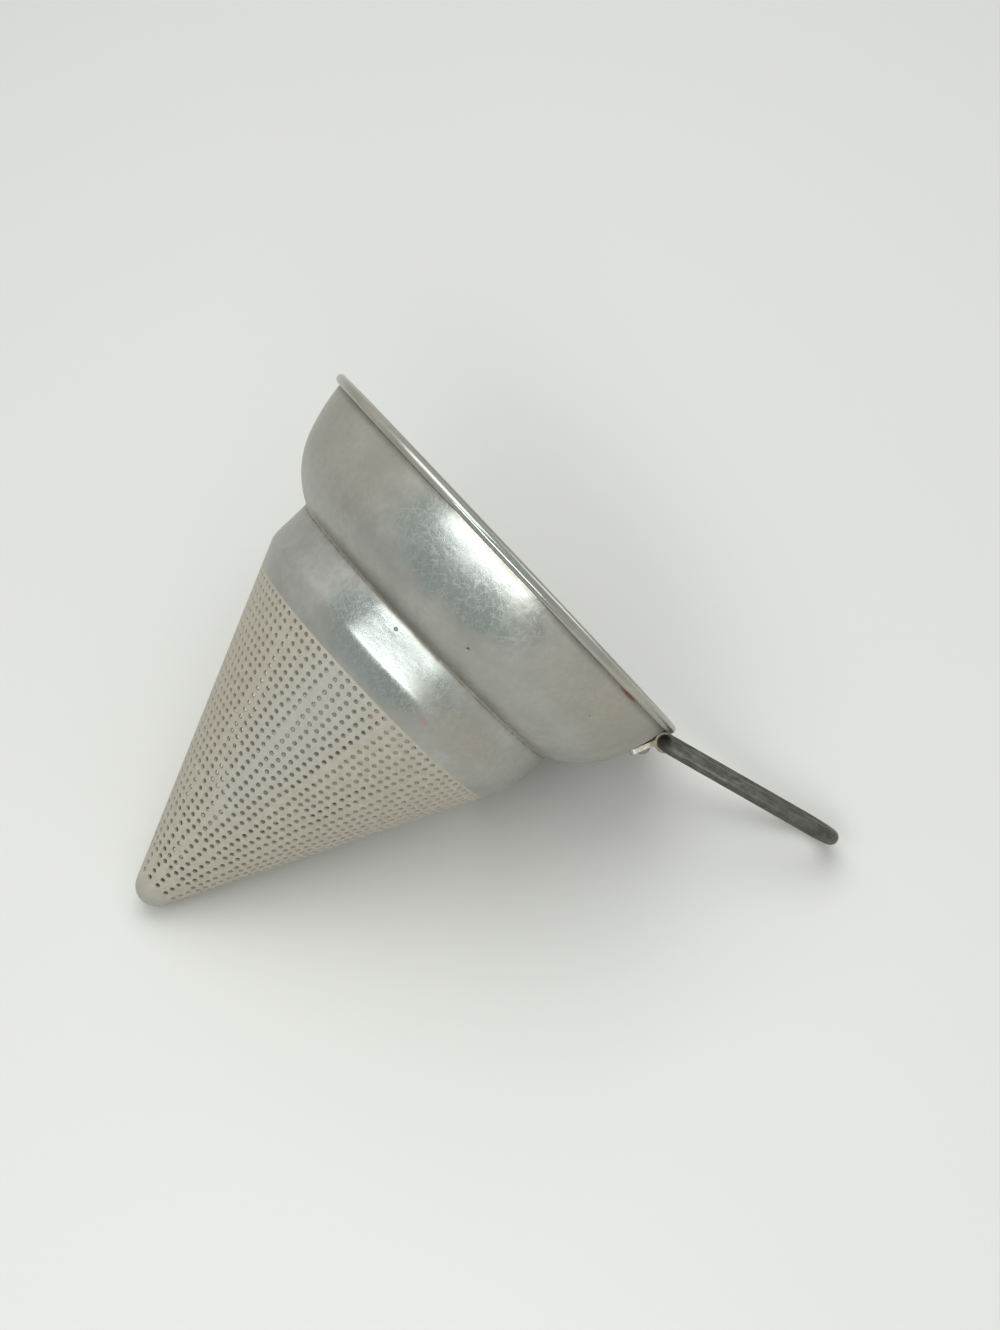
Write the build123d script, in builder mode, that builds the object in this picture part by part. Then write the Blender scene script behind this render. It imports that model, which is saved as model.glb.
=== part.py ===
from build123d import *
import os
from math import acos, asin, atan2, cos, degrees, pi, radians, sin, sqrt

# A chinois: a conical strainer spun from one aluminium disc, with a wired rim
# and a steel loop handle held by a riveted clip. It lies on its side on a table,
# on its tip, its rim and the end of its handle. The origin is the centre of the
# mouth, in the plane of the rim's top. +Z is up from the table, and +X is the way
# that the mouth faces, seen from above.

os.makedirs("parts", exist_ok=True)

# Shell, measured on its outside, with depths below the rim's top
rim_diameter = 195.0
wall = 0.9
wire_diameter = 2.0
flank_depth = 24.7
flank_diameter = 178.4
flank_bulge = 0.75
flank_cones = 4
crease_depth = 45.9
band_diameter = 139.0
shoulder_depth = 64.0
total_depth = 205.2
tip_radius = 8.5
crease_radius = 1.5
shoulder_radius = 12.0

# Holes: 37 rings over 14 equal sectors. From zone to zone each sector loses one
# column, from seven down to one, and a narrow plain stripe is left between
# sectors. The solid keeps each third column of each third ring, in its true place.
hole_diameter = 2.1
hole_first_depth = 76.8
hole_last_depth = 194.0
sector_count = 14
sector_turn = 12.0
stripe_angle = 1.0
zone_rings = (2, 6, 8, 6, 6, 6, 3)
zone_columns = (7, 6, 5, 4, 3, 2, 1)
ring_stride = 3
column_stride = 3

# Handle: a closed loop of round rod, rising out of the rim's plane
rod_diameter = 6.35
handle_rise_angle = 16.8
handle_length = 81.5
handle_width = 25.0
root_bend_radius = 4.5

# Clip: a strap folded round the handle's root bar, with its two ends one on the other
# and riveted to the bowl. Its angle is taken from the flank's chord. The knuckle sits
# in the corner between the flank and the bead, with a small gap to both.
strap_thickness = 1.0
clip_width = 12.5
clip_angle = 6.7
clip_tail = 14.5
clip_gap = 0.15
clip_crotch_radius = 1.5
clip_corner_radius = 2.0
fit_clearance = 0.1

# Rivets: two, side by side, with a domed head outside and a flat one in the bowl
rivet_diameter = 3.0
rivet_head_diameter = 5.6
rivet_head_height = 2.0
rivet_inner_height = 0.9
rivet_spacing = 6.6
rivet_drop = 8.8

# Cutters run past the faces that they cut by this much
overrun = 3.0

# The rim's bead, and the flank of the bowl below it, which bulges a little
rim_radius = rim_diameter / 2
wire_radius = wire_diameter / 2
bead_radius = wire_radius + wall
bead_ring_radius = rim_radius - bead_radius
band_radius = band_diameter / 2
lip_radius = rim_radius - 2 * bead_radius + wall
flank_radius = flank_diameter / 2
flank_chord = sqrt((lip_radius - flank_radius) ** 2 + (flank_depth - bead_radius) ** 2)
flank_slope = atan2(lip_radius - flank_radius, flank_depth - bead_radius)
flank_bend_radius = flank_chord**2 / (8 * flank_bulge) + flank_bulge / 2
flank_half_angle = asin(flank_chord / (2 * flank_bend_radius))
flank_centre_radius = lip_radius - flank_bend_radius * cos(flank_slope - flank_half_angle)
flank_centre_depth = bead_radius - flank_bend_radius * sin(flank_slope - flank_half_angle)

# The bulge is a row of short cones, because a full turn of so wide an arc would
# cross itself. It ends at the slope that the bowl below starts with.
flank_points = []
for step in range(flank_cones + 1):
    slope_there = flank_slope + flank_half_angle * (2 * step / flank_cones - 1)
    radius_there = flank_centre_radius + flank_bend_radius * cos(slope_there)
    depth_there = flank_centre_depth + flank_bend_radius * sin(slope_there)
    flank_points.append((radius_there, -depth_there))
bowl_start_slope = flank_slope + flank_half_angle
bowl_start_way = (-sin(bowl_start_slope), -cos(bowl_start_slope))

# The cone runs from the shoulder to the ball of the tip, tangent to it
tip_centre_depth = total_depth - tip_radius
shoulder_reach = sqrt(band_radius**2 + (tip_centre_depth - shoulder_depth) ** 2)
cone_slope = atan2(band_radius, tip_centre_depth - shoulder_depth) - asin(tip_radius / shoulder_reach)


def cone_at(depth):
    """Outer radius of the cone at a depth below the rim's top."""
    return band_radius - (depth - shoulder_depth) * sin(cone_slope) / cos(cone_slope)


# The knuckle nests between the flank and the bead: its middle is where a circle round
# the flank's centre meets one round the bead's middle.
rod_radius = rod_diameter / 2
knuckle_bore_radius = rod_radius + fit_clearance
knuckle_radius = knuckle_bore_radius + strap_thickness
flank_reach = flank_bend_radius + knuckle_radius + clip_gap
bead_reach = bead_radius + knuckle_radius + clip_gap
bead_out = bead_ring_radius - flank_centre_radius
bead_down = bead_radius - flank_centre_depth
bead_away = sqrt(bead_out**2 + bead_down**2)
nest_angle = acos((flank_reach**2 + bead_away**2 - bead_reach**2) / (2 * flank_reach * bead_away))
root_angle = atan2(bead_down, bead_out) + nest_angle
root_radius = flank_centre_radius + flank_reach * cos(root_angle)
root_drop = flank_centre_depth + flank_reach * sin(root_angle)

# The clip's tail lies along a tangent of the flank, whose touching point is where the
# flank has the clip's slope
clip_thickness = 2 * strap_thickness
clip_slope = flank_slope + radians(clip_angle)
touch_radius = flank_centre_radius + flank_bend_radius * cos(clip_slope)
touch_depth = flank_centre_depth + flank_bend_radius * sin(clip_slope)
root_to_touch = (root_radius - touch_radius) * sin(clip_slope) + (touch_depth - root_drop) * cos(clip_slope)
root_above_clip = (root_radius - touch_radius) * cos(clip_slope) - (touch_depth - root_drop) * sin(clip_slope)
rise = radians(handle_rise_angle)
loop_radius = handle_width / 2
loop_centre_radius = root_radius + (handle_length - loop_radius - rod_radius) * cos(rise)
loop_centre_height = (handle_length - loop_radius - rod_radius) * sin(rise) - root_drop

# Rest on the table. Its upward normal makes the angle lean with the rim's plane,
# so that the rim's bead and the tip's ball both touch the table.
ring_to_ball = tip_centre_depth - bead_radius
rest_span = sqrt(bead_ring_radius**2 + ring_to_ball**2)
lean = atan2(bead_ring_radius, ring_to_ball) - asin((tip_radius - bead_radius) / rest_span)


def handle_height(roll):
    """Height of the handle's end above the table, with the strainer rolled on its axis."""
    outward = cos(lean) * cos(roll)
    sideways = cos(lean) * sin(roll)
    along_handle = outward * cos(rise) + sin(lean) * sin(rise)
    loop_reach = loop_radius * sqrt(along_handle**2 + sideways**2) + rod_radius
    centre_height = outward * loop_centre_radius + sin(lean) * loop_centre_height
    return centre_height - loop_reach + sin(lean) * tip_centre_depth + tip_radius


# It rolls until the handle's end touches too: half a turn is halved again and again
roll_low = 0.0
roll_high = pi
for halving in range(50):
    roll = (roll_low + roll_high) / 2
    if handle_height(roll) > 0:
        roll_low = roll
    else:
        roll_high = roll

# The mouth's plane, with local X along the handle and local Z out of the mouth,
# and the plane through its centre line and the handle.
axis_way = Vector(cos(lean), 0, sin(lean))
up_the_rim = Vector(-sin(lean), 0, cos(lean))
handle_way = up_the_rim * cos(roll) + Vector(0, -1, 0) * sin(roll)
mouth = Plane(origin=(0, 0, 0), x_dir=handle_way, z_dir=axis_way)
section = Plane(origin=mouth.origin, x_dir=mouth.x_dir, z_dir=-mouth.y_dir)
centre_line = Axis(mouth.origin, mouth.z_dir)


def hole_places():
    """Planes of the kept holes, each square to the cone, with Z outwards."""
    ring_count = sum(zone_rings)
    ring_step = (hole_last_depth - hole_first_depth) / (ring_count - 1)
    sector_angle = 360 / sector_count
    places = []
    ring = 0
    for rings, columns in zip(zone_rings, zone_columns):
        column_angle = (sector_angle - stripe_angle) / columns
        for ring_in_zone in range(rings):
            depth = hole_first_depth + ring * ring_step
            if ring % ring_stride == 0:
                for column in range(0, sector_count * columns, column_stride):
                    sector = column // columns
                    from_middle = column % columns - (columns - 1) / 2
                    turn = radians(sector_turn + sector * sector_angle + from_middle * column_angle)
                    spoke = mouth.x_dir * cos(turn) + mouth.y_dir * sin(turn)
                    centre = spoke * cone_at(depth) - mouth.z_dir * depth
                    outward = spoke * cos(cone_slope) - mouth.z_dir * sin(cone_slope)
                    places.append(Plane(origin=centre, z_dir=outward))
            ring += 1
    return places


# The clip's plane has local X down the strip and Z outwards
flank_out = section.x_dir * cos(clip_slope) - section.y_dir * sin(clip_slope)
flank_down = -section.x_dir * sin(clip_slope) - section.y_dir * cos(clip_slope)
root_point = section.from_local_coords((root_radius, -root_drop))
clip_seat = Plane(origin=root_point - flank_out * root_above_clip, x_dir=flank_down, z_dir=flank_out)
rivet_places = [(rivet_drop, -rivet_spacing / 2), (rivet_drop, rivet_spacing / 2)]

rivet_radius = rivet_diameter / 2
rivet_hole_radius = rivet_radius + fit_clearance
rivet_head_radius = rivet_head_diameter / 2

# Inside the bowl the wall curves away from the flat clip both ways, so the inner
# heads sit where their far edges meet the wall.
head_side_reach = rivet_spacing / 2 + rivet_head_radius
head_up_reach = root_to_touch - rivet_drop + rivet_head_radius
wall_fall = head_side_reach**2 / (2 * flank_radius) + head_up_reach**2 / (2 * flank_bend_radius)
inner_seat = wall + wall_fall + fit_clearance

# Shell: one outline from the lip to the tip, with its wall laid on the inside, and
# the bead that the lip makes round the wire
with BuildPart() as strainer_shell:
    with BuildSketch(section):
        with BuildLine() as outline:
            flank = Polyline(*flank_points)
            bowl = TangentArc(flank @ 1, (band_radius, -crease_depth), tangent=bowl_start_way)
            band = Line(bowl @ 1, (band_radius, -shoulder_depth))
            tip = CenterArc((0, -tip_centre_depth), tip_radius, -degrees(cone_slope), degrees(cone_slope) - 90)
            cone = Line(band @ 1, tip @ 0)
            fillet(outline.vertices().sort_by_distance(bowl @ 1)[0], crease_radius)
            fillet(outline.vertices().sort_by_distance(cone @ 0)[0], shoulder_radius)
            offset(amount=wall, side=Side.RIGHT)
        make_face()
        with Locations((bead_ring_radius, -bead_radius)):
            Circle(bead_radius)
            Circle(wire_radius, mode=Mode.SUBTRACT)
    revolve(axis=centre_line)
    with Locations(*hole_places()):
        Cylinder(hole_diameter / 2, 2 * overrun, mode=Mode.SUBTRACT)
    with Locations(clip_seat):
        with Locations(*rivet_places):
            Cylinder(rivet_hole_radius, 2 * overrun, mode=Mode.SUBTRACT)
strainer_shell.part.label = "strainer_shell"
export_step(strainer_shell.part, "parts/strainer_shell.step", write_pcurves=False)

# Rim wire: the steel ring inside the bead
with BuildPart() as rim_wire:
    with BuildSketch(section):
        with Locations((bead_ring_radius, -bead_radius)):
            Circle(wire_radius)
    revolve(axis=centre_line)
rim_wire.part.label = "rim_wire"
export_step(rim_wire.part, "parts/rim_wire.step")

# Handle: round rod bent into a closed loop, with its root bar across the strainer.
# Its plane has local X along the handle and its origin at the middle of the bar.
handle_out = section.x_dir * cos(rise) + section.y_dir * sin(rise)
handle_plane = Plane(origin=root_point, x_dir=handle_out, z_dir=section.z_dir.cross(handle_out))
leg_start = root_bend_radius
leg_end = handle_length - loop_radius - rod_radius
bar_half = loop_radius - root_bend_radius
with BuildPart() as handle_loop:
    with BuildLine(handle_plane) as loop_path:
        bar = Line((0, -bar_half), (0, bar_half))
        CenterArc((leg_start, bar_half), root_bend_radius, 90, 90)
        Line((leg_start, loop_radius), (leg_end, loop_radius))
        CenterArc((leg_end, 0), loop_radius, -90, 180)
        Line((leg_end, -loop_radius), (leg_start, -loop_radius))
        CenterArc((leg_start, -bar_half), root_bend_radius, 180, 90)
    with BuildSketch(Plane(origin=bar @ 0.5, z_dir=bar % 0.5)):
        Circle(rod_radius)
    sweep(path=loop_path.wires()[0])
handle_loop.part.label = "handle_loop"
export_step(handle_loop.part, "parts/handle_loop.step")

# Clip: a flat tail of two layers, pressed together, and a closed knuckle of one layer
# round the root bar
with BuildPart() as handle_clip:
    with BuildSketch(Plane(origin=root_point, x_dir=flank_down, z_dir=section.z_dir)) as clip_outline:
        Circle(knuckle_radius)
        with Locations((0, -root_above_clip)):
            Rectangle(clip_tail, clip_thickness, align=(Align.MIN, Align.MIN))
        crotch = (knuckle_radius, clip_thickness - root_above_clip)
        fillet(clip_outline.vertices().sort_by_distance(crotch)[0], clip_crotch_radius)
        Circle(knuckle_bore_radius, mode=Mode.SUBTRACT)
    extrude(amount=clip_width / 2, both=True)
    tail_face = handle_clip.faces().sort_by(Axis(clip_seat.origin, clip_seat.x_dir))[-1]
    fillet(tail_face.edges().filter_by(Axis(clip_seat.origin, clip_seat.z_dir)), clip_corner_radius)
    with Locations(clip_seat):
        with Locations(*rivet_places):
            Cylinder(rivet_hole_radius, 2 * overrun, mode=Mode.SUBTRACT)
handle_clip.part.label = "handle_clip"
export_step(handle_clip.part, "parts/handle_clip.step")

# Rivets: each one is turned about its own axis, square to the clip
with BuildPart() as clip_rivets:
    for place in rivet_places:
        foot = clip_seat.from_local_coords(place)
        with BuildSketch(Plane(origin=foot, x_dir=clip_seat.x_dir, z_dir=-clip_seat.y_dir)):
            with BuildLine():
                head_top = (0, clip_thickness + rivet_head_height)
                crown = TangentArc(head_top, (rivet_head_radius, clip_thickness), tangent=(1, 0))
                Polyline(
                    crown @ 1,
                    (rivet_radius, clip_thickness),
                    (rivet_radius, -inner_seat),
                    (rivet_head_radius, -inner_seat),
                    (rivet_head_radius, -inner_seat - rivet_inner_height),
                    (0, -inner_seat - rivet_inner_height),
                    crown @ 0,
                )
            make_face()
        revolve(axis=Axis(foot, clip_seat.z_dir))
clip_rivets.part.label = "clip_rivets"
export_step(clip_rivets.part, "parts/clip_rivets.step")
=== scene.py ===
# %% [markdown]
# # A chinois strainer, lying on a table
# The object is a cone-shaped kitchen strainer. One disc of aluminium was spun on a lathe into a
# bowl, a plain band and a cone, and the cone was then punched full of small holes. The rim is
# rolled round a steel wire, and a loop of steel rod hangs in a clip that is riveted to the bowl.
# The solids come packed from CAD. This lesson loads them and gives them their finishes. It
# remodels the spun shell, because the solid has only 252 of the 2,058 holes.

# %% Load the solids
import math
import random

import bmesh
import bpy
from mathutils import Matrix, Vector


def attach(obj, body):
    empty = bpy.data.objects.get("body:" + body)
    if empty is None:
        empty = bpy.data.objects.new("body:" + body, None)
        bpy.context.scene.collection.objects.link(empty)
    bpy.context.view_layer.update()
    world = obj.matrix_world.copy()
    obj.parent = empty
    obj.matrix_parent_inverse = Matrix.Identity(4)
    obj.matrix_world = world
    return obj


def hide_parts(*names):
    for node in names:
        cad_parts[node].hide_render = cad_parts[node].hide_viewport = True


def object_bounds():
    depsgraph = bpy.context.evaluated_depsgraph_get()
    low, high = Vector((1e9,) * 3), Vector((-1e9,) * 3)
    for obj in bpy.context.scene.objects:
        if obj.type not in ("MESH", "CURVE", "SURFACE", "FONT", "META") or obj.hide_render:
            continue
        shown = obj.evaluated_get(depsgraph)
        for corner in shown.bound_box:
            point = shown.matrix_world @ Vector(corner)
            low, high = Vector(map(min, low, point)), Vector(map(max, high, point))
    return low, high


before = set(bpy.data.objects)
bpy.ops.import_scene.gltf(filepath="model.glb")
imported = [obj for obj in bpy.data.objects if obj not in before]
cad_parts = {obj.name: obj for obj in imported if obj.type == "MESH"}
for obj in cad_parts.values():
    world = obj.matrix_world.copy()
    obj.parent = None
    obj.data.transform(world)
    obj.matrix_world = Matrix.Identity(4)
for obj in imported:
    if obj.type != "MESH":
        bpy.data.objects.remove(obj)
cad_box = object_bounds()
print("solids:", ", ".join(sorted(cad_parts)))

# %% [markdown]
# ## The camera
# A pinhole camera was fitted to the photo from the outline, the crease and the rings of holes.
# The fit gives the camera's place, the way that it looks and the way that is right in the
# picture, all in the frame of the solids. The photo is 1000 pixels wide.

# %% Camera
camera_place = Vector((-0.301389, -0.450471, 0.679240))
look_way = Vector((0.317999, 0.487957, -0.812880))
picture_right = Vector((0.812630, -0.581932, -0.031422))
photo_width = 1000
photo_focal_length = 2167.78
sensor_width_mm = 36
photo_centre_rise = -0.001
picture_up = picture_right.cross(look_way)

bpy.ops.object.camera_add(location=camera_place)
camera = bpy.context.object
camera.name = "photo_camera"
camera_axes = Matrix((picture_right, picture_up, -look_way)).transposed()
camera.rotation_euler = camera_axes.to_euler()
camera.data.sensor_fit = "HORIZONTAL"
camera.data.sensor_width = sensor_width_mm
camera.data.lens = photo_focal_length * sensor_width_mm / photo_width
camera.data.shift_y = photo_centre_rise
bpy.context.scene.camera = camera
print("lens in mm:", round(camera.data.lens, 1))

# %% [markdown]
# ## Floor, world and lamps
# The strainer lies in a bright white box. The metal shows its surroundings, so these matter as
# much as the lamps: a pale world for what is mirrored, a weaker one for what it adds as light,
# one long soft lamp for the bright patches, and a wide one overhead for the soft shadows.

# %% Floor and world
floor_height = cad_box[0][2]
floor_size = 6.0
floor_colour = (0.66, 0.67, 0.64, 1.0)
floor_roughness = 0.6
white = (1.0, 1.0, 1.0, 1.0)
mirrored_colour = (0.60, 0.61, 0.59, 1.0)
world_light = 0.58


def add_node(tree, kind, values=None, **settings):
    """Add a node, set its properties, then fill its sockets with numbers or link them to outputs."""
    made = tree.nodes.new(kind)
    for name, value in settings.items():
        setattr(made, name, value)
    for name, value in (values or {}).items():
        if isinstance(value, bpy.types.NodeSocket):
            tree.links.new(value, made.inputs[name])
        else:
            made.inputs[name].default_value = value
    return made


bpy.ops.mesh.primitive_plane_add(size=floor_size, location=(0, 0, floor_height))
floor = bpy.context.object
floor.name = "floor"
floor_paint = bpy.data.materials.new("floor_paint")
floor_paint.use_nodes = True
floor_shader = floor_paint.node_tree.nodes["Principled BSDF"]
floor_shader.inputs["Base Color"].default_value = floor_colour
floor_shader.inputs["Roughness"].default_value = floor_roughness
floor.data.materials.append(floor_paint)

world = bpy.data.worlds.new("white_box")
bpy.context.scene.world = world
world.use_nodes = True
world_tree = world.node_tree
world_tree.nodes.clear()
rays = add_node(world_tree, "ShaderNodeLightPath").outputs
seen = add_node(world_tree, "ShaderNodeMath", {0: rays["Is Camera Ray"], 1: rays["Is Glossy Ray"]},
                operation="MAXIMUM").outputs[0]
lit = add_node(world_tree, "ShaderNodeBackground", {"Color": white, "Strength": world_light}).outputs[0]
mirrored = add_node(world_tree, "ShaderNodeBackground",
                    {"Color": mirrored_colour, "Strength": 1.0}).outputs[0]
either = add_node(world_tree, "ShaderNodeMixShader", {0: seen, 1: lit, 2: mirrored}).outputs[0]
add_node(world_tree, "ShaderNodeOutputWorld", {"Surface": either})
print("floor at", round(floor_height, 4), "m, world light", world_light)

# %% Lamps


def add_lamp(name, aim, way, long_way, distance, length, height, power):
    """A rectangular lamp at that distance from its aim, facing it, with its length along long_way."""
    facing = Vector(way).normalized()
    short_way = facing.cross(Vector(long_way)).normalized()
    bpy.ops.object.light_add(type="AREA", location=Vector(aim) + facing * distance)
    lamp = bpy.context.object
    lamp.name = name
    lamp.data.shape = "RECTANGLE"
    lamp.data.size = length
    lamp.data.size_y = height
    lamp.data.energy = power
    lamp.rotation_euler = Matrix((short_way.cross(facing), short_way, facing)).transposed().to_euler()
    return lamp


bright_patches = (-0.059, -0.039, 0.053)
window_way = (-0.592, -0.455, 0.676)
along_the_rim = (0.15, -0.92, -0.37)
window_distance = 0.70
window_length = 0.78
window_height = 0.17
window_power = 2.0
overhead_way = (0.15, 0.20, 1.0)
overhead_distance = 1.2
overhead_size = 1.2
overhead_power = 9.0
window_lamp = add_lamp("window_lamp", bright_patches, window_way, along_the_rim, window_distance,
                       window_length, window_height, window_power)
overhead_lamp = add_lamp("overhead_lamp", (0, 0, 0), overhead_way, (1, 0, 0), overhead_distance,
                         overhead_size, overhead_size, overhead_power)
print("lamps:", window_lamp.name, overhead_lamp.name)

# %% [markdown]
# ## Upright, then laid down
# On the lathe the strainer stands upright, with its mouth up, and it is far easier to model that
# way. In the photo it lies on its tip, its rim and the end of its handle. So every piece is
# modelled upright, with the origin in the middle of the mouth and X towards the handle, and
# then turned as a whole into its place. The two angles come from the solids.

# %% The way it lies
mm = 0.001
lean = math.radians(24.39699)
roll = math.radians(123.34984)
axis_way = Vector((math.cos(lean), 0, math.sin(lean)))
up_the_rim = Vector((-math.sin(lean), 0, math.cos(lean)))
handle_way = up_the_rim * math.cos(roll) + Vector((0, -1, 0)) * math.sin(roll)
side_way = axis_way.cross(handle_way)
lying = Matrix((handle_way, side_way, axis_way)).transposed()
print("centre line rises by", round(math.degrees(lean), 1), "degrees")


def lay_down(piece):
    """Turn an upright piece into its place on the table, and leave the place in its mesh."""
    bpy.ops.object.select_all(action="DESELECT")
    piece.select_set(True)
    bpy.context.view_layer.objects.active = piece
    piece.matrix_world = lying.to_4x4()
    bpy.ops.object.transform_apply(location=True, rotation=True, scale=True)


def triangles(piece):
    """The number of triangles in a piece."""
    return sum(len(face.vertices) - 2 for face in piece.data.polygons)


# %% [markdown]
# ## The shell's outline
# A spun piece has one outline. It could be drawn as a curve, but a single point that is walked
# along it shows better how the shell runs: the point is extruded along the straights and spun
# round the middle of each bend. The outline is that of the outside, and the wall comes later,
# on the inside. The flank under the bead is one wide arc. The solid has four short cones there,
# which follow this arc to within 0.05 mm.

# %% Sizes of the shell, in mm, as in the solids
rim_radius = 97.5
wall = 0.9
wire_radius = 1.0
flank_depth = 24.7
flank_radius = 89.2
flank_bulge = 0.75
crease_depth = 45.9
band_radius = 69.5
shoulder_depth = 64.0
tip_centre_depth = 196.7
tip_radius = 8.5
crease_radius = 1.5
shoulder_radius = 12.0

bead_radius = wire_radius + wall
bead_ring_radius = rim_radius - bead_radius
lip_radius = bead_ring_radius - wire_radius
cone_length = tip_centre_depth - shoulder_depth
tip_distance = math.hypot(band_radius, cone_length)
cone_slope = math.atan2(band_radius, cone_length) - math.asin(tip_radius / tip_distance)


def cone_radius_at(depth):
    """Outer radius of the cone at a depth below the rim, in mm."""
    return band_radius - (depth - shoulder_depth) * math.tan(cone_slope)


# %% Sizes of the holes, in mm
hole_radius = 1.05
first_ring_depth = 76.8
last_ring_depth = 194.0
sector_count = 14
first_sector_turn = math.radians(12)
stripe_angle = math.radians(1)
zone_rings = (2, 6, 8, 6, 6, 6, 3)
zone_columns = (7, 6, 5, 4, 3, 2, 1)
ring_step = (last_ring_depth - first_ring_depth) / (sum(zone_rings) - 1)
holes_start = first_ring_depth - ring_step / 2
holes_end = last_ring_depth + ring_step / 2
print("rings of holes:", sum(zone_rings), "and", round(ring_step, 2), "mm from ring to ring")

# %% Walking a point along the outline


def start_outline(name, radius, depth):
    """One point at that radius and depth, selected in edit mode. A plane shrinks to make it."""
    bpy.ops.object.select_all(action="DESELECT")
    bpy.ops.mesh.primitive_plane_add(size=mm, location=(0, 0, 0))
    outline = bpy.context.object
    outline.name = name
    bpy.ops.object.mode_set(mode="EDIT")
    bpy.ops.mesh.merge(type="CENTER")
    bpy.ops.transform.translate(value=(radius * mm, 0, -depth * mm))
    return outline


def selected_point(outline):
    """Radius and depth of the selected point, in mm."""
    shape = bmesh.from_edit_mesh(outline.data)
    place = [point for point in shape.verts if point.select][0].co
    return place.x / mm, -place.z / mm


def walk_to(outline, radius, depth, steps):
    """Extrude the selected point in a straight line, in that many steps."""
    from_radius, from_depth = selected_point(outline)
    step = Vector((radius - from_radius, 0, from_depth - depth)) * mm / steps
    for _ in range(steps):
        bpy.ops.mesh.extrude_region_move(TRANSFORM_OT_translate={"value": step})


def walk_round(outline, centre_radius, centre_depth, angle, steps):
    """Spin the selected point round a centre. A positive angle turns from the axis up and outwards."""
    centre = (centre_radius * mm, 0, -centre_depth * mm)
    bpy.ops.mesh.spin(steps=steps, angle=angle, center=centre, axis=(0, 1, 0))


# %% The upper outline: lip, bead, bowl, crease, band and shoulder
bead_steps = 14
flank_steps = 8
bowl_steps = 12
crease_steps = 5
band_steps = 3
shoulder_steps = 6
cone_top_steps = 2
curl_end_angle = math.radians(-125)
curl_end_radius = bead_ring_radius + wire_radius * math.cos(curl_end_angle)
curl_end_depth = bead_radius - wire_radius * math.sin(curl_end_angle)
flank_chord = math.hypot(lip_radius - flank_radius, flank_depth - bead_radius)
flank_chord_slope = math.atan2(lip_radius - flank_radius, flank_depth - bead_radius)
flank_bend_radius = flank_chord**2 / (8 * flank_bulge) + flank_bulge / 2
flank_half_angle = math.asin(flank_chord / (2 * flank_bend_radius))
flank_centre_radius = lip_radius - flank_bend_radius * math.cos(flank_chord_slope - flank_half_angle)
flank_centre_depth = bead_radius - flank_bend_radius * math.sin(flank_chord_slope - flank_half_angle)
flank_slope = flank_chord_slope + flank_half_angle
bowl_chord = Vector((band_radius - flank_radius, flank_depth - crease_depth))
flank_normal = Vector((-math.cos(flank_slope), math.sin(flank_slope)))
bowl_bend_radius = bowl_chord.length_squared / (2 * bowl_chord.dot(flank_normal))
bowl_centre_radius = flank_radius + flank_normal.x * bowl_bend_radius
bowl_centre_depth = flank_depth - flank_normal.y * bowl_bend_radius
crease_centre_radius = band_radius + crease_radius
crease_reach = bowl_bend_radius + crease_radius
crease_drop = math.sqrt(crease_reach**2 - (crease_centre_radius - bowl_centre_radius) ** 2)
crease_centre_depth = bowl_centre_depth + crease_drop
crease_angle = math.atan2(crease_drop, crease_centre_radius - bowl_centre_radius)
shoulder_centre_depth = shoulder_depth - shoulder_radius * math.tan(cone_slope / 2)

shell = start_outline("strainer_spun_shell", curl_end_radius, curl_end_depth)
walk_round(shell, bead_ring_radius, bead_radius, math.pi - curl_end_angle, bead_steps)
walk_round(shell, flank_centre_radius, flank_centre_depth, -2 * flank_half_angle, flank_steps)
walk_round(shell, bowl_centre_radius, bowl_centre_depth, flank_slope - crease_angle, bowl_steps)
walk_round(shell, crease_centre_radius, crease_centre_depth, crease_angle, crease_steps)
walk_to(shell, band_radius, shoulder_centre_depth, band_steps)
walk_round(shell, band_radius - shoulder_radius, shoulder_centre_depth, -cone_slope, shoulder_steps)
walk_to(shell, cone_radius_at(holes_start), holes_start, cone_top_steps)
print("end of the plain part:", [round(value, 2) for value in selected_point(shell)])

# %% [markdown]
# ## Spinning the plain part and the tip
# The outline is spun once round the axis. The tip has its own short outline and fewer steps,
# because it is so much narrower. The two meet the punched part in between.

# %% Spin both
shell_steps = 168
tip_steps = 56
tip_cone_steps = 2
ball_steps = 8
merge_distance = 0.01 * mm


def spin_outline(outline, steps):
    """Spin the whole outline round the strainer's axis and merge the seam and the pole."""
    bpy.ops.mesh.select_all(action="SELECT")
    bpy.ops.mesh.spin(steps=steps, angle=math.tau, center=(0, 0, 0), axis=(0, 0, 1))
    bpy.ops.mesh.select_all(action="SELECT")
    bpy.ops.mesh.remove_doubles(threshold=merge_distance)
    bpy.ops.object.mode_set(mode="OBJECT")
    print(outline.name, "faces:", len(outline.data.polygons))


spin_outline(shell, shell_steps)

tip = start_outline("tip", cone_radius_at(holes_end), holes_end)
ball_edge_depth = tip_centre_depth + tip_radius * math.sin(cone_slope)
walk_to(tip, tip_radius * math.cos(cone_slope), ball_edge_depth, tip_cone_steps)
walk_round(tip, 0, tip_centre_depth, cone_slope - math.pi / 2, ball_steps)
spin_outline(tip, tip_steps)

# %% [markdown]
# ## One cell with its hole
# All 2,058 holes are alike, so one square cell with a round hole is modelled once. A ring of
# twelve edges is the hole, and a second ring round it is pushed out to the square. Two array
# modifiers then repeat the cell over a flat sheet, which holds all the holes of a zone.

# %% The cell, in its own units
hole_sides = 12
cell_half_width = 0.5
cell_hole_radius = 0.25
cell_merge_distance = 0.01


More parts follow.
